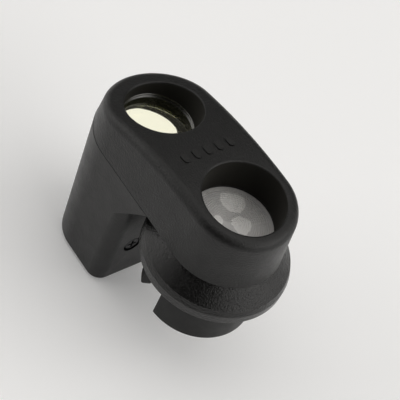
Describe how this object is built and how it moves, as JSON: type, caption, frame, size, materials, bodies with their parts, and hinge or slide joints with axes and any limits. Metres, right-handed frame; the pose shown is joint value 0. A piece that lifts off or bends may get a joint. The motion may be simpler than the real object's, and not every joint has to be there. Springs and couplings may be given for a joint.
{
  "type": "spot viewfinder attachment",
  "caption": "Viewfinder and spot receptor attachment for a handheld light meter, with windows in a slot-shaped domed cover, grained lock ring, bayonet sleeve and offset finder tube.",
  "frame": {"origin": "on the receptor axis, in the plane where the lock ring's rim seats on the meter", "axes": "+Z along the receptor and finder axes, out of the front face; the finder window lies towards -X"},
  "size_m": [0.0613, 0.035, 0.0515],
  "materials": {
    "cover_plastic": "fine moulded grain, satin black",
    "housing_plastic": "very fine moulded grain, satin black",
    "grip_plastic": "coarser slip-proof moulded grain",
    "sleeve_plastic": "smooth satin",
    "inner_black": "dead matt black against stray light",
    "tinted_glass": "part-silvered, pale yellow",
    "clear_glass": "polished",
    "fresnel_plastic": "moulded with concentric grooves",
    "opal_plastic": "opal, even",
    "soft_rubber": "matt",
    "spring_steel": "bright spring steel",
    "screw_steel": "darkened steel, pan head"
  },
  "bodies": {
    "housing": {"front_cover": "cover_plastic", "rear_housing": "housing_plastic", "finder_barrel": "inner_black", "objective_lens": "tinted_glass", "objective_ring": "inner_black", "eyepiece_cell": "inner_black", "frame_reticle": "clear_glass", "eyepiece_spacer": "inner_black", "eyepiece_lens": "clear_glass", "eyepiece_ring": "inner_black", "eye_guard": "soft_rubber", "receptor_barrel": "inner_black", "fresnel_lens": "fresnel_plastic", "fresnel_ring": "inner_black", "field_stop": "inner_black", "diffuser_lens": "opal_plastic", "diffuser_ring": "inner_black", "light_seal": "soft_rubber", "bow_washer": "spring_steel", "collar_circlip": "spring_steel", "stop_pin": "spring_steel", "case_screws": "screw_steel", "eyepiece_screws": "screw_steel"},
    "lock_ring": {"lock_collar": "grip_plastic", "bayonet_sleeve": "sleeve_plastic", "sleeve_screws": "screw_steel"}
  },
  "joints": [
    {"name": "lock_ring_turn", "type": "hinge", "parent": "housing", "child": "lock_ring", "pos_m": [0, 0, 0], "axis": [0, 0, 1], "range_deg": [-40, 0]}
  ]
}
